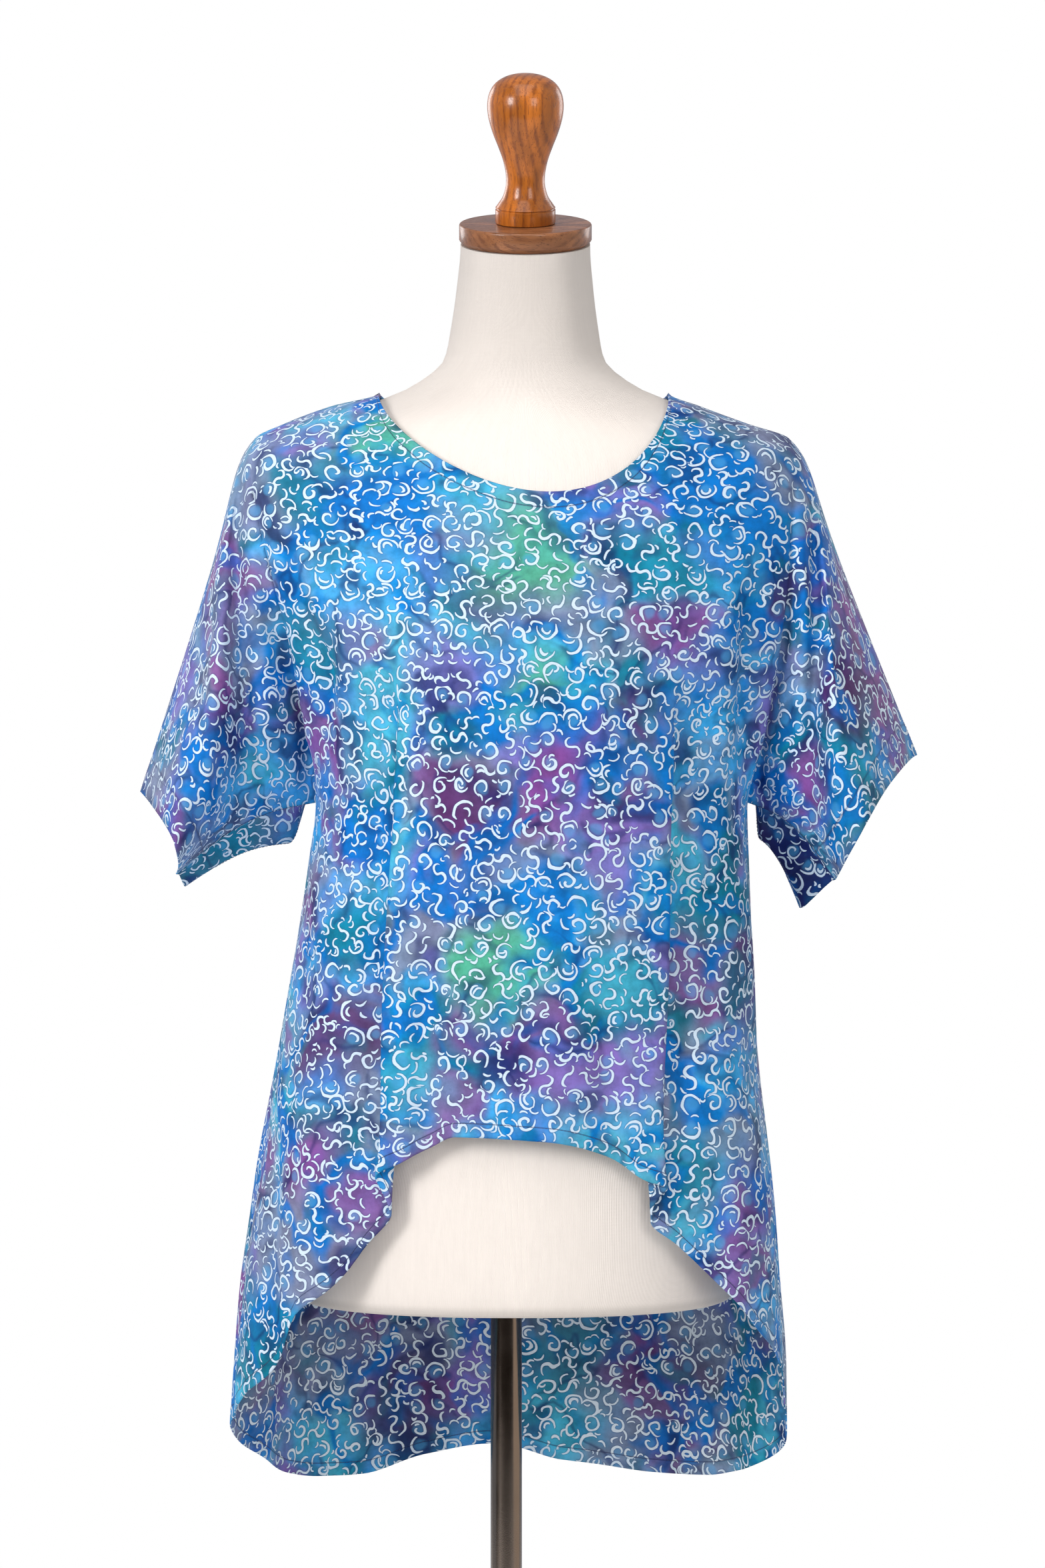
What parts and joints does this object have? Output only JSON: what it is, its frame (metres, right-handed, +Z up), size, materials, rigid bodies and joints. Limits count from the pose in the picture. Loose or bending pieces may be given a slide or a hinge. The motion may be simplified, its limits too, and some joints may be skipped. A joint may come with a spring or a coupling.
{
  "type": "batik blouse on a dress form",
  "caption": "High-low scoop-neck blouse of batik-printed cloth with cut-on half sleeves, resting on a cloth-covered dress form with a wooden neck knob, steel pole and round base",
  "frame": {"origin": "on the floor, in the middle of the stand base's underside, below the pole", "axes": "+Z up; the front of the blouse faces -Y; +X is to the right of someone who looks at the front; the form's own axis leans 0.6 degrees towards +X"},
  "size_m": [0.5712, 0.37, 1.5947],
  "materials": {
    "blouse_cloth": "printed, matt",
    "form_cover": "fine ribbed knit, matt",
    "turned_wood": "satin varnish",
    "pole_steel": "polished, dark",
    "base_steel": "satin"
  },
  "bodies": {
    "root": {"front_panel": "blouse_cloth", "back_panel": "blouse_cloth", "form_torso": "form_cover", "neck_disc": "turned_wood", "neck_knob": "turned_wood", "pole": "pole_steel", "stand_base": "base_steel"}
  },
  "joints": []
}
